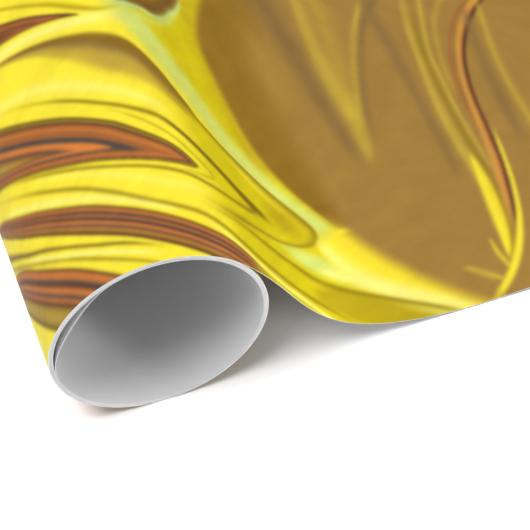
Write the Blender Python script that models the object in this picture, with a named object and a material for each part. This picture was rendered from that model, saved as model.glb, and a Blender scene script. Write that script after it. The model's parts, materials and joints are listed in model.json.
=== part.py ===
"""Roll of gift wrap, partly unrolled: a long web of paper wound on itself with no core.

The web is modelled as it behaves. Its wound turns are separate spiral laps about the roll's axis,
its inner end stands free inside the bore, and its outer end leaves the roll, curves down and lies flat.
Axes: +X the way the sheet is unrolled, +Y along the roll, +Z up. Lengths are in metres.
"""

import math

import bmesh
import bpy
from mathutils import Vector

# The web of paper
SHEET_WIDTH = 0.762
SHEET_LENGTH = 1.829
PAPER = 0.0001
NODE_GAP = 0.0003

# The wound roll; angles are about its axis, from +X towards +Z, in degrees
ROLL_RADIUS = 0.0254
LAP_PITCH = 0.00013
LAP_COUNT = 9
STEPS_PER_LAP = 48
TAKE_OFF_ANGLE = 45.0

# The inner free end of the web, which stands off the wall of the bore
TAIL_START_ANGLE = 112.5
TAIL_END_ANGLE = 187.5
TAIL_STAND_OFF = 0.001

# The curve from the roll down to the table; near the roll it starts where it has peeled clear of it
TAKE_OFF_HANDLE = 0.028
LANDING_HANDLE = 0.055
LANDING_REACH = 0.086
CURVE_STEPS = 24
PEEL_CLEARANCE = 0.004

# The outer free end of the web
LEADING_EDGE_LENGTH = 0.06

PRINT_GOLD = (0.74, 0.56, 0.06, 1.0)
BACK_WHITE = (0.86, 0.86, 0.85, 1.0)


def spiral_radius(angle):
    """Radius of the web's outer face at an angle in degrees, counted on from the take-off angle."""
    return ROLL_RADIUS - LAP_PITCH * (angle - TAKE_OFF_ANGLE) / 360.0


def on_circle(radius, angle):
    """Point in the X-Z plane at a radius and an angle in degrees."""
    turn = math.radians(angle)
    return Vector((radius * math.cos(turn), radius * math.sin(turn)))


def spiral_sides(start, end, stand_off=0.0):
    """Outer and inner face points of a stretch of the spiral; stand_off bows it inward."""
    steps = max(2, round((end - start) / 360.0 * STEPS_PER_LAP))
    outer = []
    inner = []
    for step in range(steps + 1):
        share = step / steps
        angle = start + (end - start) * share
        radius = spiral_radius(angle) - stand_off * math.sin(math.pi * share)
        outer.append(on_circle(radius, angle))
        inner.append(on_circle(radius - PAPER, angle))
    return outer, inner


def gap_angle(radius):
    """Half of the gap between two nodes, as an angle in degrees at a radius."""
    return math.degrees(0.5 * NODE_GAP / radius)


def bezier(points, share):
    """Point and direction of a cubic curve at a share of its way."""
    a, b, c, d = points
    rest = 1.0 - share
    place = a * rest**3 + 3.0 * b * rest**2 * share + 3.0 * c * rest * share**2 + d * share**3
    along = (b - a) * rest**2 + 2.0 * (c - b) * rest * share + (d - c) * share**2
    return place, along.normalized()


def curve_points(axis_height):
    """Control points of the middle of the paper from the roll to the table, about the roll's axis."""
    leave = on_circle(ROLL_RADIUS - PAPER / 2.0, TAKE_OFF_ANGLE)
    tangent = on_circle(1.0, TAKE_OFF_ANGLE - 90.0)
    landing = Vector((LANDING_REACH, PAPER / 2.0 - axis_height))
    return leave, leave + TAKE_OFF_HANDLE * tangent, landing - Vector((LANDING_HANDLE, 0.0)), landing


def curve_sides(points, first, last):
    """Upper and lower face points of the paper between two shares of the curve."""
    upper = []
    lower = []
    for step in range(CURVE_STEPS + 1):
        place, along = bezier(points, first + (last - first) * step / CURVE_STEPS)
        normal = Vector((-along.y, along.x)) * (PAPER / 2.0)
        upper.append(place + normal)
        lower.append(place - normal)
    return upper, lower


def curve_length(points):
    """Length of the whole curve."""
    places = [bezier(points, step / 200.0)[0] for step in range(201)]
    return sum((b - a).length for a, b in zip(places, places[1:]))


def flat_sides(start, end):
    """Upper and lower face points of paper that lies flat from start to end along X."""
    return [Vector((start, PAPER)), Vector((end, PAPER))], [Vector((start, 0.0)), Vector((end, 0.0))]


def wound_length():
    """Length of web from the take-off to the inner end, along the middle of the paper."""
    turns = LAP_COUNT + (TAIL_END_ANGLE - TAKE_OFF_ANGLE) / 360.0
    mean_radius = ROLL_RADIUS - PAPER / 2.0 - LAP_PITCH * turns / 2.0
    return 2.0 * math.pi * mean_radius * turns


def paper_material(name, colour, roughness):
    """Uncoated or printed paper."""
    material = bpy.data.materials.new(name)
    material.use_nodes = True
    surface = material.node_tree.nodes["Principled BSDF"]
    surface.inputs["Base Color"].default_value = colour
    surface.inputs["Roughness"].default_value = roughness
    surface.inputs["Metallic"].default_value = 0.0
    return material


def web_piece(name, sides, material, parent):
    """A stretch of the web: its edge profile in X-Z, extruded across the sheet's width."""
    shape = bmesh.new()
    rows = [[shape.verts.new((p.x, -SHEET_WIDTH / 2.0, p.y)) for p in side] for side in sides]
    profile = []
    for step in range(len(rows[0]) - 1):
        corners = (rows[0][step], rows[0][step + 1], rows[1][step + 1], rows[1][step])
        profile.append(shape.faces.new(corners))
    swept = bmesh.ops.extrude_face_region(shape, geom=profile, use_keep_orig=True)
    far_edge = [item for item in swept["geom"] if isinstance(item, bmesh.types.BMVert)]
    bmesh.ops.translate(shape, verts=far_edge, vec=(0.0, SHEET_WIDTH, 0.0))
    bmesh.ops.recalc_face_normals(shape, faces=shape.faces)
    mesh = bpy.data.meshes.new(name)
    shape.to_mesh(mesh)
    shape.free()
    mesh.shade_smooth()
    mesh.set_sharp_from_angle(angle=math.radians(30.0))
    mesh.materials.append(material)
    piece = bpy.data.objects.new(name, mesh)
    bpy.context.collection.objects.link(piece)
    piece.parent = parent
    return piece


def pivot(name, place, parent=None):
    """An empty on a joint's axis."""
    empty = bpy.data.objects.new(name, None)
    empty.location = place
    empty.parent = parent
    bpy.context.collection.objects.link(empty)
    return empty


def shifted(sides, offset):
    """Face points moved so that they are counted from a pivot."""
    return [[point - offset for point in side] for side in sides]


def add_turns(roll_axis, printed, back):
    """The laps of the roll, outermost first; the innermost runs on to where the tail parts."""
    for lap in range(LAP_COUNT):
        start = TAKE_OFF_ANGLE + 360.0 * lap
        end = start + 360.0
        if lap == LAP_COUNT - 1:
            end += TAIL_START_ANGLE - TAKE_OFF_ANGLE
        trim = gap_angle(ROLL_RADIUS)
        material = printed if lap == 0 else back
        web_piece(f"turn_{lap + 1:02d}", spiral_sides(start + trim, end - trim), material, roll_axis)


def add_inner_tail(roll_axis, back):
    """The inner free end of the web, hinged where it parts from the wall."""
    start = TAIL_START_ANGLE + 360.0 * LAP_COUNT
    end = TAIL_END_ANGLE + 360.0 * LAP_COUNT
    hinge = on_circle(spiral_radius(start) - PAPER / 2.0, start)
    sides = spiral_sides(start + gap_angle(ROLL_RADIUS), end, TAIL_STAND_OFF)
    tail_pivot = pivot("tail_pivot", (hinge.x, 0.0, hinge.y), roll_axis)
    web_piece("inner_tail", shifted(sides, hinge), back, tail_pivot)


def add_loose_sheet(roll_axis, points, printed, laid_start, laid_end):
    """The take-off curve, the sheet that lies flat, and the leading edge, which can be lifted."""
    first_share = PEEL_CLEARANCE / (3.0 * TAKE_OFF_HANDLE)
    last_share = 1.0 - NODE_GAP / (3.0 * LANDING_HANDLE)
    web_piece("take_off_curve", curve_sides(points, first_share, last_share), printed, roll_axis)
    edge_start = laid_end - LEADING_EDGE_LENGTH
    web_piece("laid_sheet", flat_sides(laid_start, edge_start - NODE_GAP), printed, None)
    edge_pivot = pivot("leading_edge_pivot", (edge_start, 0.0, 0.0))
    web_piece("leading_edge", flat_sides(0.0, LEADING_EDGE_LENGTH), printed, edge_pivot)


def main():
    for item in list(bpy.data.objects):
        bpy.data.objects.remove(item, do_unlink=True)
    printed = paper_material("printed_face", PRINT_GOLD, 0.35)
    back = paper_material("paper_back", BACK_WHITE, 0.8)
    axis_height = spiral_radius(270.0)
    points = curve_points(axis_height)
    laid_length = SHEET_LENGTH - wound_length() - curve_length(points)
    whole_reach = LANDING_REACH + laid_length
    left_reach = spiral_radius(180.0)
    axis_x = (left_reach - whole_reach) / 2.0
    laid_start = axis_x + LANDING_REACH
    roll_axis = pivot("roll_axis", (axis_x, 0.0, axis_height))
    add_turns(roll_axis, printed, back)
    add_inner_tail(roll_axis, back)
    add_loose_sheet(roll_axis, points, printed, laid_start, laid_start + laid_length)
    print(f"roll axis x {axis_x:.6f} z {axis_height:.6f}, landing x {laid_start:.6f}")
    print(f"wound {wound_length():.4f}, curve {curve_length(points):.4f}, laid {laid_length:.4f}")


main()
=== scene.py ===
import json
import math

import bpy
import numpy as np
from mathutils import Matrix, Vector


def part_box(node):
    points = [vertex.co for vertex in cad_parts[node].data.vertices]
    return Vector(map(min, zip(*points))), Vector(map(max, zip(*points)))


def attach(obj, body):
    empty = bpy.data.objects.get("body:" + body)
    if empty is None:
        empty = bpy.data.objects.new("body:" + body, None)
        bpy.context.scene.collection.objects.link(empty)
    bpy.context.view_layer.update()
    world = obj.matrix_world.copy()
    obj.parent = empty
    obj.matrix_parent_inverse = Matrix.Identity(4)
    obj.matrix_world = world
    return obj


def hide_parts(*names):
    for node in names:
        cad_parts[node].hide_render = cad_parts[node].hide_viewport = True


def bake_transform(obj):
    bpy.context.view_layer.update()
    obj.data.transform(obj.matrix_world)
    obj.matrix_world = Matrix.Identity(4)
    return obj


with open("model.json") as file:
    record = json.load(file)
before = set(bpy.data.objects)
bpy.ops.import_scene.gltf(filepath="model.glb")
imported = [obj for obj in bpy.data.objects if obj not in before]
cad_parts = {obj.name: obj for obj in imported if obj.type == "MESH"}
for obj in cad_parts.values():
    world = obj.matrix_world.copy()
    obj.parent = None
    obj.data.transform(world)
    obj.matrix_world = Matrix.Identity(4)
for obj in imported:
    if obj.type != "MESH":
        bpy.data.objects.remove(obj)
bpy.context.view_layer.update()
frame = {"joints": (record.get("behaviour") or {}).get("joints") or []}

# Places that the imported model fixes, in metres
joints = {joint["name"]: joint for joint in frame["joints"]}
rollAxis = Vector(joints["roll_spin"]["pos_m"])
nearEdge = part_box("laid_sheet")[0].y
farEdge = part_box("laid_sheet")[1].y
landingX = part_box("laid_sheet")[0].x
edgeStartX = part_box("leading_edge")[0].x
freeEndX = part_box("leading_edge")[1].x

# The camera looks into the near end of the roll from above, a little to its left
cameraView = {
    "aim": (0.02696, 0.00696, 0.00456),  # from the near end of the roll's axis
    "azimuth": -20.2,
    "elevation": 51.63,
    "distance": 0.4,
    "lens": 122.26,
    "sensor": 36.0,
    "nearest": 0.01,
}

# Bright white room: an even sky, one big soft lamp above and a low one that shines into the roll
roomLight = {
    "sky": (1.0, 1.0, 1.0),
    "skyStrength": 0.36,
    "lamps": [  # name, place from the near end of the roll, size, watts
        ("highLamp", (-0.3, 0.02, 0.95), 0.7, 14.6),
        ("lowLamp", (0.75, -0.6, 0.2), 0.3, 4.0),
    ],
    "floorColour": (0.93, 0.93, 0.93),
    "floorHalf": 6.0,
    "floorRoughness": 0.9,
    "floorShine": 0.1,
}

# The web of paper, in metres and degrees; angles are from +X towards +Z
web = {
    "thickness": 0.0001,
    "lapPitch": 0.00013,  # how much the roll's radius shrinks with each lap
    "laps": 9,
    "takeOffAngle": 45.0,
    "takeOffPull": 0.028,  # how far the curve keeps to its direction where it leaves the roll
    "landingPull": 0.055,  # and where it lands
    "tailStart": 112.5,
    "tailEnd": 187.5,
    "tailStandOff": 0.0019,  # the inner end's, from the wall of the bore
    "tailBow": 1.5,  # more makes the stand-off begin more gently
}
rollRadius = rollAxis.z + web["lapPitch"] * (270.0 - web["takeOffAngle"]) / 360.0


def makeCamera():
    view = cameraView
    azimuth = math.radians(view["azimuth"])
    elevation = math.radians(view["elevation"])
    back = Vector((
        math.sin(azimuth) * math.cos(elevation),
        -math.cos(azimuth) * math.cos(elevation),
        math.sin(elevation),
    ))
    aim = Vector((rollAxis.x, nearEdge, rollAxis.z)) + Vector(view["aim"])
    camera = bpy.data.objects.new("camera", bpy.data.cameras.new("camera"))
    bpy.context.scene.collection.objects.link(camera)
    camera.location = aim + back * view["distance"]
    camera.rotation_mode = "QUATERNION"
    camera.rotation_quaternion = (-back).to_track_quat("-Z", "Y")
    camera.data.lens = view["lens"]
    camera.data.sensor_width = view["sensor"]
    camera.data.clip_start = view["nearest"]
    bpy.context.scene.camera = camera


def makeRoom():
    room = roomLight
    scene = bpy.context.scene
    scene.view_settings.view_transform = "Standard"
    world = bpy.data.worlds.new("room")
    world.use_nodes = True
    sky = world.node_tree.nodes["Background"]
    sky.inputs["Color"].default_value = (*room["sky"], 1.0)
    sky.inputs["Strength"].default_value = room["skyStrength"]
    scene.world = world

    for name, place, size, watts in room["lamps"]:
        lamp = bpy.data.objects.new(name, bpy.data.lights.new(name, "AREA"))
        scene.collection.objects.link(lamp)
        lamp.data.shape = "DISK"
        lamp.data.size = size
        lamp.data.energy = watts
        lamp.location = Vector((rollAxis.x, nearEdge, 0.0)) + Vector(place)
        lamp.rotation_mode = "QUATERNION"
        lamp.rotation_quaternion = Vector(place).to_track_quat("Z", "Y")

    half = room["floorHalf"]
    floorMesh = bpy.data.meshes.new("floor")
    corners = [(-half, -half, 0.0), (half, -half, 0.0), (half, half, 0.0), (-half, half, 0.0)]
    floorMesh.from_pydata(corners, [], [(0, 1, 2, 3)])
    floor = bpy.data.objects.new("floor", floorMesh)
    scene.collection.objects.link(floor)
    floorPaint = bpy.data.materials.new("floorPaint")
    floorPaint.use_nodes = True
    surface = floorPaint.node_tree.nodes["Principled BSDF"]
    surface.inputs["Base Color"].default_value = (*room["floorColour"], 1.0)
    surface.inputs["Roughness"].default_value = room["floorRoughness"]
    surface.inputs["Specular IOR Level"].default_value = room["floorShine"]
    floorMesh.materials.append(floorPaint)


# Stations along the web. Each is (distance from the take-off, x, z, normal x, normal z);
# the distance counts up towards the free end, and is negative on the roll.

def woundStations(startAngle, endAngle, stepsPerLap, standOff=0.0):
    # angles in degrees, counted on from the take-off
    steps = max(2, round((endAngle - startAngle) / 360.0 * stepsPerLap))
    share = np.linspace(0.0, 1.0, steps + 1)
    turned = startAngle + (endAngle - startAngle) * share
    angle = np.radians(web["takeOffAngle"] + turned)
    middle = rollRadius - web["thickness"] / 2.0
    bow = standOff * np.sin(np.pi * share) ** web["tailBow"]
    radius = middle - web["lapPitch"] * turned / 360.0 - bow
    along = -(middle * np.radians(turned) - web["lapPitch"] * np.radians(turned) ** 2 / (4.0 * np.pi))
    x = rollAxis.x + radius * np.cos(angle)
    z = rollAxis.z + radius * np.sin(angle)
    return np.stack([along, x, z, np.cos(angle), np.sin(angle)], axis=1)


def curveStations(steps):
    # from the roll down to the table
    turn = math.radians(web["takeOffAngle"])
    middle = rollRadius - web["thickness"] / 2.0
    leave = np.array([rollAxis.x + middle * math.cos(turn), rollAxis.z + middle * math.sin(turn)])
    downhill = np.array([math.sin(turn), -math.cos(turn)])
    landing = np.array([landingX, web["thickness"] / 2.0])
    level = np.array([1.0, 0.0])
    firstPull = leave + downhill * web["takeOffPull"]
    lastPull = landing - level * web["landingPull"]
    t = np.linspace(0.0, 1.0, steps + 1)[:, None]
    place = (1 - t) ** 3 * leave + 3 * (1 - t) ** 2 * t * firstPull
    place = place + 3 * (1 - t) * t ** 2 * lastPull + t ** 3 * landing
    slope = (1 - t) ** 2 * (firstPull - leave) + 2 * (1 - t) * t * (lastPull - firstPull)
    slope = slope + t ** 2 * (landing - lastPull)
    slope = slope / np.linalg.norm(slope, axis=1)[:, None]
    step = np.linalg.norm(np.diff(place, axis=0), axis=1)
    along = np.concatenate([[0.0], np.cumsum(step)])
    return np.stack([along, place[:, 0], place[:, 1], -slope[:, 1], slope[:, 0]], axis=1)


def flatStations(startAlong, xs):
    flat = np.zeros((len(xs), 5))
    flat[:, 0] = startAlong + xs - xs[0]
    flat[:, 1] = xs
    flat[:, 2] = web["thickness"] / 2.0
    flat[:, 4] = 1.0
    return flat


# Spacing of the points across the sheet: how fine it is from the near edge to the reach, how coarse
# it gets beyond that, and how fast it opens up
printedRows = {"fine": 0.00045, "reach": 0.118, "coarse": 0.004}
plainRows = {"fine": 0.004, "reach": 0.02, "coarse": 0.03}
firstRow = 0.0002  # beside the cut edge, which it keeps crisp
rowGrowth = 0.08


def gradedRows(spacing):
    # distances across the sheet from its near edge
    width = farEdge - nearEdge
    rows = [0.0, firstRow]
    while rows[-1] < width:
        beyond = max(0.0, rows[-1] - spacing["reach"])
        rows.append(rows[-1] + min(spacing["coarse"], spacing["fine"] + rowGrowth * beyond))
    rows[-1] = width
    return np.array(rows)


# Printing inks as they come out in the room's light, red, green and blue out of 255
inks = {
    "pale": (255, 248, 135),
    "lemon": (252, 232, 58),
    "sun": (246, 218, 50),
    "gold": (214, 198, 22),
    "deepGold": (186, 162, 26),
    "olive": (150, 127, 22),
    "moss": (112, 88, 28),
    "mint": (212, 222, 112),
    "frost": (190, 218, 140),
    "copper": (166, 100, 52),
    "orange": (226, 133, 60),
    "rust": (200, 120, 58),
    "tan": (208, 150, 68),
    "brown": (98, 62, 44),
    "slate": (82, 73, 68),
    "oliveGold": (168, 136, 48),
    "umber": (140, 106, 34),
    "amber": (165, 127, 62),
    "honey": (184, 152, 60),
    "bronze": (140, 110, 62),
    "straw": (212, 188, 62),
}

# Strokes of the marbling. Places are millimetres: along the web from the take-off line, then across
# it from the near edge. Every ink is (where, name, strength).

def vein(path, inks):
    # each point has a half width; the inks run from the left side, 1, to the right side, -1
    return {"kind": "vein", "path": path, "inks": inks}


def line(path, ink, strength, edge):
    # a vein of one ink, strongest in its middle; the edge is where it ends, in half widths
    return vein(path, [(edge, ink, 0), (0, ink, strength), (-edge, ink, 0)])


def lens(path, inks):
    # each point has a width to the left and to the right, and a height, which the inks follow
    return {"kind": "lens", "path": path, "inks": inks}


def area(path, inks):
    # the path is an edge, and the inks follow the distance to the right of it
    return {"kind": "area", "path": path, "inks": inks}


def wash(centre, radii, tilt, ink, strength):
    # a soft patch, tilted in degrees
    return {"kind": "wash", "centre": centre, "radii": radii, "tilt": tilt, "ink": ink,
            "strength": strength}


# Laid on in order, like inks on a bath
marbling = [
    area([(0, -8), (1, 30), (0, 60), (-4, 90), (-6, 140)],
         [(-6, "lemon", 0), (8, "gold", 0.9), (60, "gold", 1)]),
    vein([(36, 44, 4), (34, 60, 6), (35, 90, 7), (40, 140, 7)],
         [(1, "gold", 0), (-0.4, "deepGold", 0.75), (-1.4, "deepGold", 0.6)]),
    # top of the roll
    vein([(-50, 74, 2), (-28, 74, 2.4), (-16, 75, 2.6), (-6, 78, 3.4), (4, 80, 3.4), (12, 76, 3)],
         [(-1.4, "pale", 0), (0, "pale", 0.85), (1.3, "lemon", 0)]),
    vein([(-44, 93, 0.6), (-27, 85, 0.8), (-20, 82.4, 1.2), (-14, 80.2, 1.5), (-9, 79.7, 1.2),
          (-4, 81.5, 0.8), (4, 87, 0.6)],
         [(-1.4, "deepGold", 0), (-0.2, "deepGold", 0.9), (1.5, "gold", 0)]),
    lens([(-44, 80, 8, 2.6, 8), (-33, 78.2, 4.4, 1.7, 5.5), (-26, 77.6, 2.9, 1.1, 3.8),
          (-20, 77.3, 1.5, 0.7, 2), (-14, 77.3, 0.3, 0.3, 0)],
         [(-0.9, "moss", 0), (0.5, "brown", 1), (1.4, "copper", 1), (2.6, "copper", 1),
          (3.2, "brown", 1), (4, "copper", 1), (4.8, "brown", 1), (5.6, "copper", 1)]),
    # mint flow down to the flare
    vein([(-8, 88, 8), (2, 80, 9.5), (9, 72, 10.5), (16, 63.5, 10.5), (24, 54.5, 9), (33, 46.5, 7),
          (41, 39.5, 5.5), (47.5, 33, 4.6), (51, 28, 4.2), (50, 20, 4)],
         [(-1.4, "lemon", 0), (-0.9, "lemon", 0.6), (-0.35, "mint", 0.8), (0.3, "mint", 0.9),
          (0.8, "mint", 0.45), (1.4, "gold", 0)]),
    wash((42, 18.2), (14, 5), -12, "mint", 1),
    wash((52, 20), (7, 8), -40, "lemon", 0.8),
    vein([(-4, 83, 1.5), (8, 84.5, 1.8), (16, 87.8, 1.8), (24, 93.5, 1.8), (31, 100.5, 1.6),
          (36, 107.5, 1.6), (40, 116, 1.6)],
         [(-1.3, "mint", 0), (0, "mint", 0.7), (1.3, "frost", 0)]),
    vein([(-8, 82, 1), (3, 86.2, 1.3), (10, 88.6, 1.4), (18, 91.4, 1.5), (25.5, 97, 1.5),
          (31.6, 103, 1.3), (36.6, 108, 1.2), (41, 116, 1)],
         [(-1.3, "frost", 0), (0.2, "frost", 0.9), (1, "frost", 0.9), (1.4, "frost", 0)]),
    area([(43, 120), (39.2, 112), (35.4, 106.8), (31, 102.8), (25, 96.8), (18, 91.9), (10, 89.2),
          (3, 86.8), (-2, 85.5), (-5, 92), (-8, 130)],
         [(-0.4, "moss", 0), (0.9, "umber", 0.8), (2.2, "brown", 0.75), (5, "umber", 1)]),
    # brown-gold smear and the outer hairpin
    vein([(-44, 72.6, 0.5), (-31, 70, 1.2), (-25, 68.5, 2.4), (-18, 66, 4.6), (-11, 63.8, 6.6),
          (-4.5, 62.3, 7.4), (1, 59.4, 6), (5, 56, 4.6), (9, 53, 3.6), (14, 50, 2.6)],
         [(1.1, "umber", 0), (0.8, "umber", 0.95), (0.4, "bronze", 0.85), (-0.1, "honey", 0.8),
          (-0.7, "honey", 0.55), (-1.45, "sun", 0)]),
    wash((-6, 67), (9, 3.2), -12, "umber", 0.7),
    wash((-11, 60), (10, 5), -10, "honey", 0.55),
    vein([(-48, 73, 0.4), (-28, 70.7, 0.7), (-18, 70, 1.2), (-9, 69.7, 1.8), (-3.5, 68.4, 2.2),
          (0, 64, 2.4), (3.5, 59, 2.4), (8.5, 54, 2.3), (14, 50, 2)],
         [(1.4, "umber", 0), (0.2, "umber", 0.75), (-2, "umber", 0)]),
    wash((38, 30.5), (10, 7), -35, "deepGold", 0.95),
    vein([(-1, 62, 2), (8, 53.2, 2.5), (13, 49.8, 2.4), (20, 46.8, 2.2), (30, 43.6, 2.2),
          (38, 38.1, 2.4), (43.3, 32.9, 2.7), (45.8, 28.9, 2.5), (44.2, 25.6, 1.6), (40, 23.7, 1.2),
          (33, 22.1, 1), (25, 20.7, 1), (16, 19.2, 1.4), (8, 18.6, 1.6), (-4, 19.6, 1)],
         [(1.15, "olive", 0), (0.6, "olive", 0.95), (0, "deepGold", 0.8), (-1.6, "gold", 0)]),
    wash((10, 17.2), (14, 3), 2, "olive", 0.4),
    # inner hairpin
    wash((23.5, 29), (10, 2.8), -12, "olive", 1),
    line([(-50, 64, 0.5), (-32, 55, 0.7), (-24, 51, 0.8), (-17, 47.6, 0.9), (-10, 45.2, 1.1),
          (-4, 43.6, 1.3), (1, 40.8, 1.4), (7, 36.8, 1.6), (13, 33.2, 1.8), (19, 30.6, 2),
          (24, 28.8, 2), (22.5, 26.4, 1.5), (18, 24.9, 1.2), (12, 24, 1.1), (5, 24.4, 1),
          (-3, 25.5, 0.9), (-12, 26.7, 0.8), (-20, 28.5, 0.7), (-28, 31.6, 0.7), (-36, 35.6, 0.6),
          (-44, 40.3, 0.6), (-56, 47.5, 0.5)], "olive", 0.9, 1.4),
    line([(-4, 43.5, 0.8), (3, 39.5, 1.1), (9, 35.2, 1.5), (16, 31.6, 1.9), (23, 29.2, 2),
          (31, 28.3, 1.2)], "moss", 0.7, 1.4),
    line([(-20, 47.5, 0.4), (-4, 38.6, 0.8), (2, 34, 0.9), (6.5, 29.8, 1), (5, 27.4, 0.7),
          (-8, 26.6, 0.5)], "deepGold", 0.7, 1.4),
    line([(-50, 63, 1.6), (-30, 58, 3), (-20, 54, 3.4), (-10, 50.5, 3), (2, 46, 2.2)],
         "pale", 0.6, 1.3),
    # copper lens
    lens([(-58, 55.5, 11, 5.5, 10.2), (-50, 49, 10.3, 4.6, 9.6), (-44, 45, 10.3, 3.7, 9),
          (-36, 41, 9.7, 3.9, 8), (-28, 37.2, 9.4, 4, 7), (-21, 34.6, 8.5, 3.8, 6),
          (-17, 33, 8.1, 3.4, 5), (-11, 31.6, 6.3, 3.1, 4), (-5, 30.8, 4.5, 2.6, 3),
          (0, 30, 2, 1.6, 1.2), (2, 29.8, 0.3, 0.3, 0)],
         [(-0.9, "olive", 0), (0.3, "moss", 1), (0.75, "oliveGold", 1), (1.15, "brown", 1),
          (1.8, "copper", 1), (2.5, "rust", 1), (3.2, "copper", 1), (3.9, "copper", 1),
          (4.5, "slate", 1), (5.05, "slate", 1), (5.6, "rust", 1), (6, "orange", 0.9),
          (6.6, "copper", 1), (7.1, "slate", 0.9), (7.7, "copper", 1), (8.2, "oliveGold", 1),
          (9, "honey", 1), (9.6, "olive", 1), (10.2, "oliveGold", 1)]),
    wash((-16.6, 33.6), (4.4, 1.6), -32, "slate", 0.9),
    wash((-25, 36.6), (6, 1.6), -29, "orange", 1),
    wash((-9, 33.6), (7, 1.7), -24, "rust", 0.3),
    # yellow between the lens and the upper band
    vein([(-60, 47, 0.5), (-42, 34.8, 0.7), (-35, 30, 0.8), (-28, 25.6, 0.9), (-22, 21.3, 1),
          (-16, 17.2, 1.1), (-10, 14.8, 1.1), (-4, 13.2, 1.2), (2, 10.8, 1.3), (8, 7.6, 1.4),
          (14, 5.6, 1.3), (22, 5.2, 1.3), (30, 5.1, 1.2), (37, 4, 1.2), (43, 1.8, 1.1), (52, -3, 1)],
         [(1.4, "olive", 0), (0, "olive", 0.8), (-1.3, "olive", 0)]),
    line([(-54, 39, 1.2), (-38, 28.4, 1.7), (-28, 22.8, 1.7), (-18, 17, 1.3), (-8, 12.4, 0.8)],
         "pale", 0.7, 1.3),
    line([(-40, 36, 1), (-30, 31, 1.4), (-20, 26, 2), (-10, 22, 2.6), (2, 21, 2)], "pale", 0.45, 1.3),
    # pale edge below it on the ramp
    line([(-6, 12.6, 0.6), (6, 5.8, 1), (12, 3.2, 1.2), (20, 2.2, 1.3), (29, 2.4, 1.4), (36, 0.8, 1.2),
          (44, -3, 1)], "pale", 0.85, 1.3),
    # upper copper band
    vein([(-98, 54, 1), (-89, 51.5, 1), (-80, 48.5, 1), (-70, 45, 1), (-62, 41.2, 1.1),
          (-55, 36.4, 1.9), (-50, 32.2, 2.3), (-45, 28.2, 2.7), (-40, 24.6, 3), (-35, 21, 3.3),
          (-30, 17.7, 3.7), (-25, 14.5, 3.8), (-20, 11.6, 3.9), (-15, 8.8, 4.1), (-10, 6.4, 4.3),
          (-5, 4.3, 4.5), (0, 2.6, 4.7), (5, 0.8, 4.2), (10, -1.6, 3.6), (26, -9, 3)],
         [(1.12, "olive", 0), (0.96, "moss", 1), (0.84, "copper", 1), (0.66, "rust", 1),
          (0.52, "slate", 1), (0.42, "brown", 1), (0.3, "rust", 1), (0.14, "slate", 1),
          (0.02, "brown", 1), (-0.12, "rust", 1), (-0.24, "rust", 1), (-0.36, "slate", 1),
          (-0.48, "copper", 1), (-0.6, "oliveGold", 1), (-0.74, "copper", 1), (-0.86, "brown", 1),
          (-0.98, "moss", 1), (-1.1, "olive", 0)]),
    # thin lines between the two bands
    line([(-78, 44, 1), (-62, 33.4, 1.2), (-57, 29.6, 1.1), (-52, 25.6, 0.9), (-47, 21.6, 0.8),
          (-42, 18.3, 0.7), (-37, 14.8, 0.6), (-30, 10.3, 0.6), (-24, 7.4, 0.6), (-14, 2.4, 0.5)],
         "moss", 0.95, 1.3),
    line([(-74, 39.5, 0.6), (-59, 27.8, 0.8), (-52, 22.6, 0.7), (-45, 17.2, 0.7), (-38, 12.2, 0.8),
          (-30, 6.4, 0.8), (-24, 2.6, 0.7), (-14, -3, 0.6)], "olive", 0.75, 1.3),
    line([(-52, 23.6, 0.5), (-40, 14.6, 0.8), (-33, 10, 0.8), (-26, 6, 0.8), (-16, 1, 0.6)],
         "pale", 0.85, 1.3),
    line([(-66, 28.6, 0.5), (-52, 19.8, 0.7), (-44, 13.2, 0.7), (-36, 6.6, 0.7), (-24, -3, 0.6)],
         "deepGold", 0.85, 1.3),
    wash((-64, 34), (5, 9), 20, "pale", 0.6),
    # lower copper band and the corner below it
    vein([(-80, 34, 3), (-62, 23, 3.9), (-60, 21.7, 4.1), (-55, 17.2, 5.2), (-50, 11.9, 5.8),
          (-45, 6.8, 6.5), (-40, 2.2, 6.9), (-35, -2.5, 7), (-20, -16, 7)],
         [(1.1, "olive", 0), (0.98, "brown", 1), (0.88, "rust", 1), (0.72, "rust", 1),
          (0.58, "slate", 1), (0.46, "brown", 1), (0.34, "rust", 1), (0.24, "rust", 1),
          (0.12, "slate", 1), (-0.02, "rust", 1), (-0.16, "brown", 1), (-0.32, "oliveGold", 1),
          (-0.55, "honey", 1), (-0.76, "oliveGold", 1), (-0.92, "moss", 1), (-1.08, "olive", 0)]),
    wash((-61, 6), (5, 9), 30, "pale", 0.7),
    # gold at the foot of the ramp
    vein([(34, 7, 2), (44, 6.5, 4), (50, 5, 5), (58, 3, 4.6), (65, 0, 4), (80, -9, 4)],
         [(1.4, "deepGold", 0), (0.5, "deepGold", 0.8), (-0.8, "deepGold", 0.8),
          (-1.2, "deepGold", 0)]),
    # bright tongue beside the pool
    vein([(48, 30, 4), (53, 24, 6.5), (58, 18.5, 7.6), (63, 13.6, 7.4), (69, 8, 6.4), (75, 3, 5.4),
          (90, -9, 4)],
         [(-1.4, "pale", 0), (-0.75, "pale", 0.75), (-0.1, "lemon", 0.9), (0.6, "sun", 0.95),
          (1.5, "sun", 0)]),
    vein([(40, 18, 2), (48, 15, 3.2), (55, 12.4, 3.4), (62, 9.4, 3.2), (70, 5, 2.8), (82, -3, 2)],
         [(1.4, "pale", 0), (0, "pale", 0.8), (-1.3, "pale", 0)]),
    wash((41, 18.4), (10, 3.4), -12, "mint", 0.9),
    vein([(-4, 16.5, 0.7), (15, 15.2, 1), (25, 15.2, 1.2), (33, 14.7, 1.3), (40, 12.4, 1.4),
          (48, 10.4, 1.3), (56, 8.3, 1.1), (63, 5.6, 1.1), (70, 2.3, 1), (84, -6, 0.9)],
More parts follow.
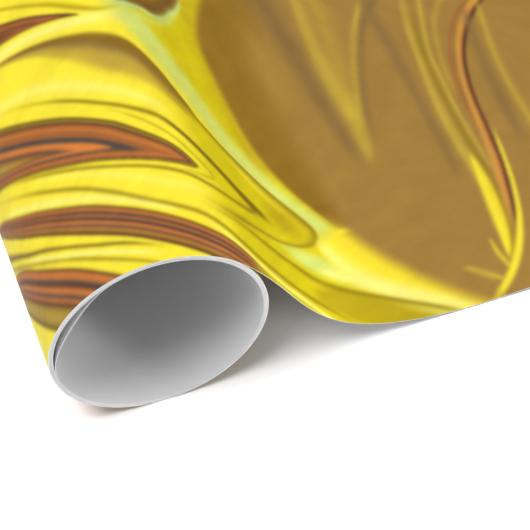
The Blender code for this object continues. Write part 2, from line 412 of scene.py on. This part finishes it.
         [(1.3, "olive", 0), (0, "olive", 0.8), (-2.2, "deepGold", 0)]),
    # amber pool
    area([(84, -3), (80.6, 0), (78, 2.4), (74, 6.4), (70, 10.8), (66, 15.4), (62, 20.4), (58.6, 25.4),
          (56, 29.2), (53, 33.2), (49, 39), (44.6, 46), (41.2, 52), (39.4, 58), (39, 65), (38.6, 75),
          (38.6, 85), (39.8, 95), (42.2, 103), (46, 110), (51, 117), (58, 130)],
         [(-2.4, "honey", 0), (-0.2, "honey", 0.45), (3, "amber", 1)]),
    vein([(66, 136, 7), (52.5, 109, 7), (47, 96, 7.4), (46, 84, 7.4), (46, 70, 7.2), (47, 58, 6.6),
          (50, 47, 5), (53.6, 38, 3), (58, 30, 2)],
         [(2.2, "umber", 0), (0.1, "umber", 0.9), (-0.8, "umber", 1), (-1.3, "olive", 0)]),
    wash((54.6, 29.4), (4, 1.3), 12, "lemon", 0.85),
    wash((58, 88), (6, 30), 0, "honey", 0.35),
    line([(65, 136, 4), (67, 100, 4), (67.6, 85, 3.6), (68.4, 70, 3), (69.5, 48, 2)],
         "bronze", 0.9, 1.4),
    # the hook in the pool
    line([(82, 136, 4), (79.5, 105, 4.5), (78, 92, 4), (76.5, 80, 3.4), (75, 66, 2)],
         "honey", 0.75, 1.3),
    vein([(78, 136, 2), (74, 100, 2.4), (73.4, 86, 3), (73.6, 75, 3.6), (74.2, 67, 3.6),
          (73.4, 58, 2.6), (72.2, 48, 1)],
         [(1.4, "honey", 0), (0.3, "straw", 0.52), (-0.3, "straw", 0.55), (-1.4, "honey", 0)]),
    wash((74, 68), (2.4, 6), 0, "straw", 0.5),
    line([(74.5, 52, 0.8), (79, 71, 1.2), (81, 78, 1.2), (83.3, 84.5, 1.2), (86, 91, 1.2),
          (89.4, 97.5, 1.5), (93.5, 103, 1.8), (104, 114, 1.8)], "bronze", 0.9, 1.4),
    vein([(73, 58, 0.8), (77.3, 72, 1), (79.2, 78, 1), (81.1, 84, 1), (83.4, 90, 1.1),
          (86.2, 96.5, 1.2), (89.4, 102.4, 1.3), (93, 108, 1.4), (104, 122, 1.6)],
         [(1.4, "honey", 0), (0, "straw", 0.62), (-1.4, "honey", 0)]),
    line([(92, 130, 2), (92.8, 92, 2.4), (92.6, 75, 2.2), (92.2, 60, 2), (91.2, 34, 1.6)],
         "bronze", 0.75, 1.4),
    # streaks beside the copper line
    vein([(107, 120, 1.4), (100.4, 93, 1.3), (98.4, 80, 1.3), (97, 70, 1.3), (96.2, 60, 1.6),
          (96, 50, 1.8), (96, 42, 1.8), (96.2, 34, 1.9), (95.9, 28, 1.8), (95.1, 21, 1.6),
          (94.2, 16.5, 1.2), (92.6, 9, 0.6)],
         [(1.6, "honey", 0), (0.3, "straw", 0.5), (-0.5, "straw", 0.6), (-1.4, "honey", 0)]),
    vein([(97, 46, 0.5), (96.6, 37, 1.3), (95.9, 28.5, 2.1), (95, 21.5, 2.1), (94, 16, 1.6),
          (92.2, 7, 0.8)],
         [(1.5, "straw", 0), (0.5, "sun", 0.8), (-0.4, "lemon", 0.95), (-1.25, "lemon", 0)]),
    line([(107, 112, 0.8), (100.4, 84, 0.9), (99, 70, 0.9), (98.3, 58, 0.9), (98.2, 46, 0.8),
          (98.6, 36, 0.7), (97.8, 28, 0.7), (96.6, 20.5, 0.7), (95, 14.8, 0.7), (93, 10.6, 0.6),
          (90, 6, 0.5)], "olive", 0.7, 1.4),
    vein([(112, 118, 1.2), (102.4, 85, 1.1), (100.6, 70, 1), (99.9, 58, 1), (99.9, 46, 0.9),
          (100, 34, 0.6)],
         [(1.4, "honey", 0), (0, "straw", 0.65), (-1.4, "honey", 0)]),
    line([(120, 108, 1.2), (109, 94, 1.2), (105.6, 86, 1.1), (103.2, 76, 1), (101.4, 62, 0.8)],
         "honey", 0.85, 1.4),
    vein([(130, 101, 1), (116, 92.8, 1.1), (112, 88.5, 1.1), (108.9, 83.4, 1), (106.6, 78, 1),
          (105, 72.6, 1), (103.8, 67, 0.9), (103, 61, 0.9), (102, 46, 0.9)],
         [(1.4, "bronze", 0), (0, "copper", 0.7), (-1.4, "copper", 0)]),
    vein([(136, 100, 1), (123, 95.3, 1.1), (119.6, 93.1, 1.1), (116.6, 90.2, 1.1), (113.7, 86.7, 1),
          (111, 82.2, 0.9), (109, 77.8, 0.8), (107.3, 73, 0.8), (106, 68, 0.8), (105.1, 63, 0.8),
          (104.3, 58, 0.85), (103.6, 52, 0.95), (102.8, 46, 1.05), (102, 40, 1.1), (100.8, 34, 1.05),
          (99.6, 28, 0.95), (98.3, 22.5, 0.8), (96, 14, 0.5)],
         [(1.7, "brown", 0), (1.15, "brown", 0.85), (0.6, "rust", 0.95), (0, "tan", 1),
          (-0.8, "tan", 0.9), (-1.5, "tan", 0)]),
    vein([(138, 99, 0.6), (124.6, 94.4, 0.7), (121.2, 92.4, 0.75), (118.2, 89.7, 0.75),
          (115.2, 86.1, 0.75), (112.2, 81.6, 0.7), (110.2, 77.6, 0.65), (108.4, 73, 0.65),
          (107.1, 68, 0.6), (106.1, 63, 0.6), (105.4, 58, 0.55), (104.9, 53, 0.55), (104.3, 48, 0.55),
          (103.7, 43, 0.5), (103, 38, 0.5), (101.9, 33, 0.5), (100.7, 28, 0.5), (99.5, 23.6, 0.5),
          (98.1, 19.6, 0.45), (95, 13.4, 0.4)],
         [(1.4, "brown", 0), (0.2, "brown", 1), (-0.4, "brown", 0.95), (-1.4, "brown", 0)]),
    vein([(106.2, 52, 0.3), (105.4, 46, 0.4), (104.5, 40, 0.45), (103.3, 33, 0.55), (102, 27.5, 0.65),
          (100.4, 22.3, 0.8), (98.3, 17.3, 1.05), (96.1, 13, 1.2), (93.8, 9.4, 1.3), (91.1, 6.1, 1.3),
          (88.4, 3.5, 1.3), (85.5, 1, 1.1), (78, -6, 0.8)],
         [(1.3, "straw", 0), (0.3, "lemon", 0.95), (-0.3, "lemon", 0.95), (-1.4, "straw", 0)]),
    vein([(90.2, 18, 0.4), (90.2, 13, 0.9), (90.8, 9.6, 1), (91.2, 7, 0.7)],
         [(1.3, "straw", 0), (0, "sun", 0.75), (-1.3, "straw", 0)]),
    vein([(80.5, 12, 0.6), (83.6, 9, 1.3), (86.2, 6.6, 1.4), (88.8, 4.3, 1)],
         [(1.4, "honey", 0), (0, "straw", 0.8), (-1.4, "honey", 0)]),
    vein([(124, 110, 1.2), (119, 84, 1.4), (117, 72, 1.6), (116.1, 60, 1.8), (116, 50, 1.9),
          (115, 34, 1)],
         [(1.4, "honey", 0), (0, "straw", 0.55), (-1.4, "honey", 0)]),
    line([(117, 96, 1.6), (113.5, 74, 2.2), (112.4, 62, 2.4), (111, 40, 1.6)], "bronze", 0.75, 1.4),
]

# The inks are divided by the room's light, so that they come out as listed. For the listed marbling the
# divisor follows the web, which paints light and shade into the print: it is lighter on the ramp, where
# the room's light is weakest, and darker on top of the roll and on the laid sheet, where it is
# strongest.
printing = {
    "light": 1.5,  # for the free marbling
    "paintedShadeAlong": [  # painted light and shade for the listed marbling: millimetres from the take-off line, the room's light there, which the print is divided by
        (-60, 1.75), (-24, 1.78), (-12, 1.56), (0, 1.26), (12, 1.04),
        (28, 1.0), (40, 1.08), (50, 1.34), (62, 1.58), (72, 1.6),
    ],
    "brightest": 0.95,
    "fadeAcross": (120.0, 134.0),  # where the listed marbling gives way to the free, in millimetres
    "fadeAlong": (137.0, 150.0),
    "fadeBehind": (-64.0, -74.0),
}

strokeEdges = {
    "taper": 0.12,  # share of a vein's run over which it fades in, and out
    "thinnest": 0.05,  # half width in millimetres
    "spill": 1.5,  # how far its inks can go beyond its width, in widths
    "margin": 0.5,  # and beyond that, in millimetres
    "lensFade": 2.0,  # levels to the millimetre, outside a lens
    "washFall": 1.8,  # how fast a wash thins from its centre
    "washSteps": 12,
    "washStep": 0.125,  # in radii
    "washReach": 1.6,
}


def linear(ink):
    shade = np.array(ink, float) / 255.0
    return np.where(shade <= 0.04045, shade / 12.92, ((shade + 0.055) / 1.055) ** 2.4)


def easeBetween(value, start, end):
    share = np.clip((value - start) / (end - start), 0.0, 1.0)
    return share * share * (3.0 - 2.0 * share)


def smoothPath(points, finer=8):
    # a smooth curve through the points, which carries their other values along
    points = np.array(points, float)
    ends = np.vstack([2 * points[0] - points[1], points, 2 * points[-1] - points[-2]])
    t = np.linspace(0.0, 1.0, finer, endpoint=False)[:, None]
    spans = []
    for a, b, c, d in zip(ends, ends[1:], ends[2:], ends[3:]):
        bend = (2 * a - 5 * b + 4 * c - d) * t ** 2 + (3 * b - a - 3 * c + d) * t ** 3
        spans.append(0.5 * (2 * b + (c - a) * t + bend))
    return np.vstack(spans + [points[-1:]])


def besidePath(path, places):
    # signed distance from the path, left is positive, and the path's other values beside each place
    nearest = np.full(len(places), np.inf)
    left = np.ones(len(places))
    values = np.zeros((len(places), path.shape[1] - 2))
    for a, b in zip(path, path[1:]):
        span = b[:2] - a[:2]
        reach = places - a[:2]
        share = np.clip(reach @ span / (span @ span), 0.0, 1.0)
        gap = reach - share[:, None] * span
        distance = np.hypot(gap[:, 0], gap[:, 1])
        closer = distance < nearest
        nearest[closer] = distance[closer]
        left[closer] = np.sign(span[0] * reach[closer, 1] - span[1] * reach[closer, 0])
        values[closer] = a[2:] + share[closer, None] * (b[2:] - a[2:])
    return nearest * left, values


def washInks(stroke):
    # a wash's ink thins out from its centre
    table = []
    for step in range(strokeEdges["washSteps"]):
        away = step * strokeEdges["washStep"]
        strength = stroke["strength"] * math.exp(-strokeEdges["washFall"] * away ** 2)
        table.append((away, stroke["ink"], strength))
    return table + [(strokeEdges["washReach"], stroke["ink"], 0.0)]


def strokeCover(stroke, places):
    # which places a stroke reaches, their measure in it, how far it holds there, and its inks
    kind = stroke["kind"]
    thinnest = strokeEdges["thinnest"]
    if kind == "wash":
        turn = math.radians(stroke["tilt"])
        away = places - np.array(stroke["centre"])
        a = (away[:, 0] * math.cos(turn) + away[:, 1] * math.sin(turn)) / stroke["radii"][0]
        b = (away[:, 1] * math.cos(turn) - away[:, 0] * math.sin(turn)) / stroke["radii"][1]
        measure = np.hypot(a, b)
        inside = measure < strokeEdges["washReach"]
        return inside, measure[inside], 1.0, washInks(stroke)

    path = smoothPath(stroke["path"])
    if kind == "area":
        signed, _ = besidePath(path, places)
        return np.ones(len(places), bool), -signed, 1.0, stroke["inks"]

    path = np.column_stack([path, np.linspace(0.0, 1.0, len(path))])
    margin = strokeEdges["spill"] * path[:, 2:4].max() + strokeEdges["margin"]
    low = path[:, :2].min(axis=0) - margin
    high = path[:, :2].max(axis=0) + margin
    inside = np.all((places > low) & (places < high), axis=1)
    signed, values = besidePath(path, places[inside])
    if kind == "lens":
        breadth = np.maximum(np.where(signed > 0, values[:, 0], values[:, 1]), thinnest)
        within = breadth - np.abs(signed)
        level = np.where(within > 0, values[:, 2] * within / breadth, strokeEdges["lensFade"] * within)
        return inside, level, 1.0, stroke["inks"]

    taper = strokeEdges["taper"]
    held = easeBetween(values[:, -1], 0.0, taper) * easeBetween(values[:, -1], 1.0, 1.0 - taper)
    return inside, signed / np.maximum(values[:, 0], thinnest), held, stroke["inks"]


def layMarbling(places):
    # the printed colour at each place, after every stroke in turn
    colour = np.tile(np.array(inks["lemon"], float), (len(places), 1))
    for stroke in marbling:
        inside, measure, held, table = strokeCover(stroke, places)
        table = sorted(table, key=lambda entry: entry[0])
        where = [entry[0] for entry in table]
        strength = np.interp(measure, where, [entry[2] for entry in table])
        strength = strength * strength * (3.0 - 2.0 * strength) * held
        for channel in range(3):
            shade = np.interp(measure, where, [inks[entry[1]][channel] for entry in table])
            under = colour[inside, channel]
            colour[inside, channel] = under + (shade - under) * strength
    # painted light and shade: the listed marbling is divided by the room's light along the web, lighter
    # on the ramp and darker on the roll's top and the laid sheet
    light = np.interp(places[:, 0], *np.array(printing["paintedShadeAlong"], float).T)
    return np.minimum(linear(colour) / light[:, None], printing["brightest"])


def laidInks(along, across):
    # the listed marbling at each place in millimetres, and how far it holds there
    held = 1.0 - easeBetween(across, *printing["fadeAcross"])
    held = held * (1.0 - easeBetween(along, *printing["fadeAlong"]))
    held = held * (1.0 - easeBetween(along, *printing["fadeBehind"]))
    colour = np.tile(linear(inks["gold"]), (len(along), 1))
    wanted = held > 0.0
    if wanted.any():
        colour[wanted] = layMarbling(np.stack([along, across], axis=1)[wanted])
    return colour, held


def softened(colour):
    # each point takes in a little of its neighbours; the ends along the web stay, to meet the next piece
    spread = colour.copy()
    spread[:, 1:-1] = 0.5 * colour[:, 1:-1] + 0.25 * (colour[:, 2:] + colour[:, :-2])
    soft = spread.copy()
    soft[1:-1] = 0.5 * spread[1:-1] + 0.25 * (spread[2:] + spread[:-2])
    return soft


def everyFew(count, skip):
    # each skip-th number below count, and the last one
    picked = list(range(0, count - 1, skip))
    return np.array(picked + [count - 1])


def crossedTheSmoothWay(quads, colour):
    # each quad starts at the corner that puts its diagonal along the print's lines
    ends = [colour[quads[:, corner]] for corner in range(4)]
    straight = np.abs(ends[0] - ends[2]).sum(axis=1)
    crossed = np.abs(ends[1] - ends[3]).sum(axis=1)
    turned = np.roll(quads, -1, axis=1)
    return np.where((crossed < straight)[:, None], turned, quads)


def closedMesh(name, points, corners, sizes):
    # corners lists every face's points in turn, and sizes says how many each face has
    mesh = bpy.data.meshes.new(name)
    mesh.vertices.add(len(points))
    mesh.vertices.foreach_set("co", points.astype(np.float32).ravel())
    mesh.loops.add(len(corners))
    mesh.loops.foreach_set("vertex_index", corners.astype(np.int32))
    mesh.polygons.add(len(sizes))
    starts = np.concatenate([[0], np.cumsum(sizes)[:-1]])
    mesh.polygons.foreach_set("loop_start", starts.astype(np.int32))
    mesh.update(calc_edges=True)
    return mesh


def keepInks(mesh, colour, held):
    # the colour of the listed marbling at each point of the outer face, and how far it holds
    count = len(mesh.vertices)
    colours = np.ones((count, 4), np.float32)
    colours[:len(colour), :3] = colour
    laid = mesh.attributes.new("laidInk", "FLOAT_COLOR", "POINT")
    laid.data.foreach_set("color", colours.ravel())
    holds = np.zeros(count, np.float32)
    holds[:len(held)] = held
    hold = mesh.attributes.new("laidHold", "FLOAT", "POINT")
    hold.data.foreach_set("value", holds)


millimetres = 1000.0  # in a metre
crease = 50.0  # degrees, above which an edge stays sharp


def paperPiece(name, stations, rows, lift=None, wander=None, printed=True, skip=1):
    # a thin closed sheet: outer face, coarser inner face and the cut edges
    count, across = len(stations), len(rows)
    along = np.repeat(stations[:, 0:1], across, axis=1)
    offEdge = np.repeat(rows[None, :], count, axis=0)
    x = np.repeat(stations[:, 1:2], across, axis=1)
    z = np.repeat(stations[:, 2:3], across, axis=1)
    if lift is not None:
        z = z + lift(x, offEdge)
    y = nearEdge + offEdge
    if wander is not None:
        y = y + wander(along, offEdge)

    half = web["thickness"] / 2.0
    nx = np.repeat(stations[:, 3:4], across, axis=1) * half
    nz = np.repeat(stations[:, 4:5], across, axis=1) * half
    outer = np.stack([x + nx, y, z + nz], axis=2)
    inner = np.stack([x - nx, y, z - nz], axis=2)
    keptStations = everyFew(count, skip)
    keptRows = everyFew(across, skip)
    inner = inner[np.ix_(keptStations, keptRows)]
    points = np.concatenate([outer.reshape(-1, 3), inner.reshape(-1, 3)])
    places = np.stack([along, offEdge], axis=2)
    lowPlaces = places[np.ix_(keptStations, keptRows)]
    places = np.concatenate([places.reshape(-1, 2), lowPlaces.reshape(-1, 2)])

    backward = stations[-1, 0] < stations[0, 0]  # wound stretches run the other way along the web
    top = np.arange(count * across).reshape(count, across)
    low = top.size + np.arange(inner.shape[0] * inner.shape[1]).reshape(inner.shape[:2])
    topQuads = gridQuads(top, backward)
    lowQuads = gridQuads(low, not backward)
    if printed:
        colour, held = laidInks(*(places[:top.size].T * millimetres))
        colour = softened(colour.reshape(count, across, 3)).reshape(-1, 3)
        topQuads = crossedTheSmoothWay(topQuads, colour)
    rims = rimFaces(top[:, 0], low[:, 0], keptStations, backward)
    rims += rimFaces(top[:, -1], low[:, -1], keptStations, not backward)
    rims += rimFaces(top[0, :], low[0, :], keptRows, not backward)
    rims += rimFaces(top[-1, :], low[-1, :], keptRows, backward)

    corners = np.concatenate([topQuads.ravel(), lowQuads.ravel()] + [np.array(rim) for rim in rims])
    quadCount = len(topQuads) + len(lowQuads)
    sizes = np.concatenate([np.full(quadCount, 4), [len(rim) for rim in rims]]).astype(int)
    mesh = closedMesh(name, points, corners, sizes)
    uvs = mesh.uv_layers.new(name="web")
    uvs.uv.foreach_set("vector", places[corners].astype(np.float32).ravel())

    finish = np.full(len(sizes), 1)  # the back is 0 and the cut edges are 1
    finish[:quadCount] = 0
    if printed:
        finish += 1  # the printed face comes before them
        finish[:len(topQuads)] = 0
        keepInks(mesh, colour, held)
        mesh.materials.append(printedFace)
    mesh.materials.append(paperBack)
    mesh.materials.append(cutEdge)
    mesh.polygons.foreach_set("material_index", finish.astype(np.int32))
    mesh.shade_smooth()
    mesh.set_sharp_from_angle(angle=math.radians(crease))
    piece = bpy.data.objects.new(name, mesh)
    bpy.context.scene.collection.objects.link(piece)
    print(name, len(sizes), "faces")
    return piece


def gridQuads(index, flipped):
    a, b, c, d = index[:-1, :-1], index[1:, :-1], index[1:, 1:], index[:-1, 1:]
    quads = np.stack([a, b, c, d], axis=2).reshape(-1, 4)
    return quads[:, ::-1] if flipped else quads


def rimFaces(upper, lower, kept, flipped):
    # the cut edge of the paper, from the fine upper line to the coarser lower one
    faces = []
    for step in range(len(kept) - 1):
        fine = list(upper[kept[step]:kept[step + 1] + 1])
        face = [lower[step], lower[step + 1]] + fine[::-1]
        faces.append(face[::-1] if flipped else face)
    return faces


class Board:
    # a material's node tree, with short ways to add nodes and join them

    def __init__(self, name):
        self.material = bpy.data.materials.new(name)
        self.material.use_nodes = True
        self.nodes = self.material.node_tree.nodes
        self.links = self.material.node_tree.links
        self.surface = self.nodes["Principled BSDF"]

    def add(self, kind, inputs=None, **settings):
        node = self.nodes.new(kind)
        for key, value in settings.items():
            setattr(node, key, value)
        for key, value in (inputs or {}).items():
            if isinstance(value, bpy.types.NodeSocket):
                self.links.new(value, node.inputs[key])
            else:
                node.inputs[key].default_value = value
        return node

    def sums(self, operation, a, b):
        return self.add("ShaderNodeMath", {0: a, 1: b}, operation=operation).outputs[0]

    def noise(self, place, scale, detail=2.0, rough=0.5, stretch=(1.0, 1.0, 1.0), turn=0.0):
        placed = self.add("ShaderNodeMapping", {"Vector": place, "Scale": stretch,
                                                "Rotation": (0.0, 0.0, math.radians(turn))})
        return self.add("ShaderNodeTexNoise", {"Vector": placed.outputs[0], "Scale": scale,
                                               "Detail": detail, "Roughness": rough})

    def carry(self, place, size, strength):
        # the place, moved by a slow noise
        drift = self.noise(place, size, 0.0).outputs["Color"]
        drift = self.add("ShaderNodeVectorMath", {0: drift, 1: (0.5, 0.5, 0.5)}, operation="SUBTRACT")
        drift = self.add("ShaderNodeVectorMath", {0: drift.outputs[0], "Scale": strength},
                         operation="SCALE")
        return self.add("ShaderNodeVectorMath", {0: place, 1: drift.outputs[0]}).outputs[0]

    def ramp(self, value, stops):
        # stops are (where, ink name)
        node = self.add("ShaderNodeValToRGB", {"Fac": value})
        band = node.color_ramp
        while len(band.elements) < len(stops):
            band.elements.new(1.0)
        for element, (where, name) in zip(band.elements, stops):
            element.position = where
            element.color = (*(linear(inks[name]) / printing["light"]), 1.0)
        return node.outputs["Color"]

    def mix(self, share, a, b, blend="MIX"):
        node = self.add("ShaderNodeMix", data_type="RGBA", blend_type=blend)
        for socket, value in ((node.inputs[0], share), (node.inputs[6], a), (node.inputs[7], b)):
            if isinstance(value, bpy.types.NodeSocket):
                self.links.new(value, socket)
            else:
                socket.default_value = value
        return node.outputs[2]

    def spread(self, value, first, last):
        # first and last are (value, what it becomes)
        return self.add("ShaderNodeMapRange", {"Value": value, "From Min": first[0], "From Max": last[0],
                                               "To Min": first[1], "To Max": last[1]}).outputs[0]

    def bump(self, height, strength, depth):
        node = self.add("ShaderNodeBump", {"Strength": strength, "Distance": depth, "Height": height})
        self.join(node.outputs[0], "Normal")

    def join(self, output, name):
        self.links.new(output, self.surface.inputs[name])


# The free marbling repeats a set of bands across the sheet, and the drift and the swirl bend them
freeMarbling = {
    "across": (0.72, 0.69, 0.0),  # the way from one band to the next
    "cycle": 0.21,  # the width of a whole set of bands, in metres
    "drift": 0.42,  # metres
    "driftSize": 4.0,  # bends to the metre
    "swirl": 0.03,
    "swirlSize": 11.0,
    "inks": [  # where in the set, ink
        (0.0, "lemon"), (0.03, "pale"), (0.06, "lemon"), (0.085, "lemon"), (0.095, "olive"),
        (0.105, "lemon"), (0.15, "moss"), (0.165, "copper"), (0.18, "brown"), (0.195, "rust"),
        (0.21, "slate"), (0.225, "copper"), (0.24, "moss"), (0.25, "lemon"), (0.28, "pale"),
        (0.3, "olive"), (0.31, "lemon"),
        (0.38, "gold"), (0.42, "mint"), (0.46, "gold"), (0.52, "deepGold"), (0.545, "umber"),
        (0.58, "amber"), (0.66, "amber"), (0.69, "straw"), (0.71, "bronze"), (0.8, "amber"),
        (0.85, "rust"), (0.86, "brown"), (0.87, "straw"), (0.9, "amber"), (0.97, "sun"),
    ],
}


printFinish = {
    "shine": 0.06,
    "strands": {"scale": 160.0, "detail": 3.0, "rough": 0.6, "stretch": (1.0, 0.2, 1.0), "turn": 38.0},
    "strandDark": (0.3, 0.93),  # the noise's level, what the ink is multiplied by there
    "strandLight": (0.7, 1.06),
    "grain": {"scale": 2400.0, "detail": 2.0, "rough": 0.6},
    "roughness": (0.46, 0.55),
    "tooth": 0.05,
    "toothDepth": 0.0001,
}


def makePrintedFace():
    board = Board("printedFace")
    finish = printFinish
    board.surface.inputs["Specular IOR Level"].default_value = finish["shine"]
    free = freeMarbling
    place = board.add("ShaderNodeUVMap", uv_map="web").outputs["UV"]

    carried = board.carry(place, free["driftSize"], free["drift"])
    carried = board.carry(carried, free["swirlSize"], free["swirl"])
    level = board.add("ShaderNodeVectorMath", {0: carried, 1: free["across"]},
                      operation="DOT_PRODUCT").outputs["Value"]
    level = board.sums("DIVIDE", level, free["cycle"])
    level = board.sums("FRACT", level, 0.0)
    freeInk = board.ramp(level, free["inks"])

    laid = board.add("ShaderNodeAttribute", attribute_name="laidInk").outputs["Color"]
    hold = board.add("ShaderNodeAttribute", attribute_name="laidHold").outputs["Fac"]
    ink = board.mix(hold, freeInk, laid)

    # fine strands that the comb leaves in the inks
    strands = board.noise(carried, **finish["strands"]).outputs["Fac"]
    strands = board.spread(strands, finish["strandDark"], finish["strandLight"])
    ink = board.mix(1.0, ink, strands, "MULTIPLY")
    board.join(ink, "Base Color")

    grain = board.noise(place, **finish["grain"]).outputs["Fac"]
    smooth, rough = finish["roughness"]
    board.join(board.spread(grain, (0.0, smooth), (1.0, rough)), "Roughness")
    board.bump(grain, finish["tooth"], finish["toothDepth"])
    return board.material


# Uncoated paper: its back, and its edges where the blade cut it. The back is a darker grey than the cut
# edge of the same paper: a grey-white back, darkened further as painted shade for the inside of the
# roll. Fibres are counted to the metre.
shadedBackPaper = {
    # painted shade: this grey of the back darkens the inside of the roll
    "colour": (0.6, 0.6, 0.605),
    "shadow": (0.56, 0.56, 0.565),
    "roughness": 0.82,
    "fibres": 900.0,
}
cutPaper = {
    "colour": (0.76, 0.76, 0.76),
    "shadow": (0.66, 0.66, 0.66),
    "roughness": 0.9,
    "fibres": 3000.0,
}
uncoated = {
    "fibre": {"detail": 3.0, "rough": 0.6, "stretch": (1.0, 0.4, 1.0)},
    "clouds": 120.0,  # to the metre
    "mottle": 1.6,
    "shine": 0.3,
    "tooth": 0.12,
    "toothDepth": 0.0001,
}


def makePlainPaper(name, paper):
    board = Board(name)
    place = board.add("ShaderNodeUVMap", uv_map="web").outputs["UV"]
    fibres = board.noise(place, paper["fibres"], **uncoated["fibre"]).outputs["Fac"]
    cloud = board.noise(place, uncoated["clouds"]).outputs["Fac"]
    share = board.sums("MULTIPLY", fibres, cloud)
    share = board.sums("MULTIPLY", share, uncoated["mottle"])
    tint = board.mix(share, (*paper["colour"], 1.0), (*paper["shadow"], 1.0))
    board.join(tint, "Base Color")
    board.surface.inputs["Roughness"].default_value = paper["roughness"]
    board.surface.inputs["Specular IOR Level"].default_value = uncoated["shine"]
    board.bump(fibres, uncoated["tooth"], uncoated["toothDepth"])
    return board.material


makeCamera()
makeRoom()
print("camera and room ready")

printedFace = makePrintedFace()
paperBack = makePlainPaper("paperBack", shadedBackPaper)
cutEdge = makePlainPaper("cutEdge", cutPaper)

fullTurn = 360.0
rows = gradedRows(printedRows)
coarseRows = gradedRows(plainRows)

outerLap = {
    "shownAngle": 150.0,  # from the take-off to the roll's left side, finely divided for the print
    "hiddenSteps": 108,  # to a lap, behind and under the roll
    "flatLength": 0.16,
}
shownSteps = round(fullTurn / math.degrees(printedRows["fine"] / rollRadius))
shown = woundStations(0.0, outerLap["shownAngle"], shownSteps)
hidden = woundStations(outerLap["shownAngle"], fullTurn, outerLap["hiddenSteps"])
outerTurn = paperPiece("outerTurn", np.concatenate([shown, hidden[1:]]), rows, skip=4)
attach(outerTurn, "roll")
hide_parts("turn_01")

innerLaps = {
    "steps": 96,  # to a lap
    "flatLength": 1.28,
    "slips": [(0.00007, 61.0, 0.0), (0.00005, 173.0, 1.0)],  # metres, waves along the web, start
    "slipReach": 0.004,  # in from the roll's ends
}


def unevenEnd(along, offEdge):
    # the laps don't line up exactly at the roll's ends
    slip = sum(size * np.sin(along * waves + start) for size, waves, start in innerLaps["slips"])
    return slip * np.exp(-offEdge / innerLaps["slipReach"])


lastTurn = web["laps"] * fullTurn + web["tailStart"] - web["takeOffAngle"]
innerTurns = paperPiece("innerTurns", woundStations(fullTurn, lastTurn, innerLaps["steps"]), coarseRows,
                        wander=unevenEnd, printed=False)
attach(innerTurns, "roll")
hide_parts(*[f"turn_{lap:02d}" for lap in range(2, web["laps"] + 1)])

tail = {
    "steps": 192,  # to a lap
    "bendX": -0.006,  # the stretch beyond the hinge, along x and z
    "bendZ": -0.003,
    "flatLength": 0.032,
}
tailTurn = web["laps"] * fullTurn + web["tailEnd"] - web["takeOffAngle"]
tailStations = woundStations(lastTurn, tailTurn, tail["steps"], web["tailStandOff"])
innerTail = paperPiece("innerTail", tailStations, coarseRows, wander=unevenEnd, printed=False)
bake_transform(innerTail)
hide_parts("inner_tail")

loose = {
    "curveSteps": 193,  # as fine as the print
    "shownReach": 0.15,  # from the roll's axis, finely divided for the print
    "fadeSteps": 40,  # from there to the end of the rise
    "flatSteps": 28,  # from there to the leading edge
    "riseHeight": 0.0032,  # where the paper stands off the table around the landing
    "riseStart": -0.02,  # from the landing
    "riseReach": 0.14,
    "stillLength": 0.01,  # beside the leading edge, which doesn't stretch as the roll moves away
}


def riseAt(x, offEdge):
    share = np.clip((x - landingX - loose["riseStart"]) / loose["riseReach"], 0.0, 1.0)
    return loose["riseHeight"] * np.sin(np.pi * share) ** 2


curve = curveStations(loose["curveSteps"])
shownEndX = rollAxis.x + loose["shownReach"]
riseEndX = landingX + loose["riseStart"] + loose["riseReach"]
flatXs = np.concatenate([
    np.arange(landingX, shownEndX, printedRows["fine"]),
    np.linspace(shownEndX, riseEndX, loose["fadeSteps"])[:-1],
    np.linspace(riseEndX, edgeStartX, loose["flatSteps"]),
])
laid = flatStations(curve[-1, 0], flatXs)
looseSheet = paperPiece("looseSheet", np.concatenate([curve, laid[1:]]), rows, lift=riseAt, skip=4)
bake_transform(looseSheet)
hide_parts("take_off_curve", "laid_sheet")

freeEnd = {
    "steps": 31,
    "bend": 0.02,  # a stretch at the leading edge, in metres
}
edgeXs = np.linspace(edgeStartX, freeEndX, freeEnd["steps"])
leadingEdge = paperPiece("leadingEdge", flatStations(laid[-1, 0], edgeXs), rows)
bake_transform(leadingEdge)
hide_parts("leading_edge")
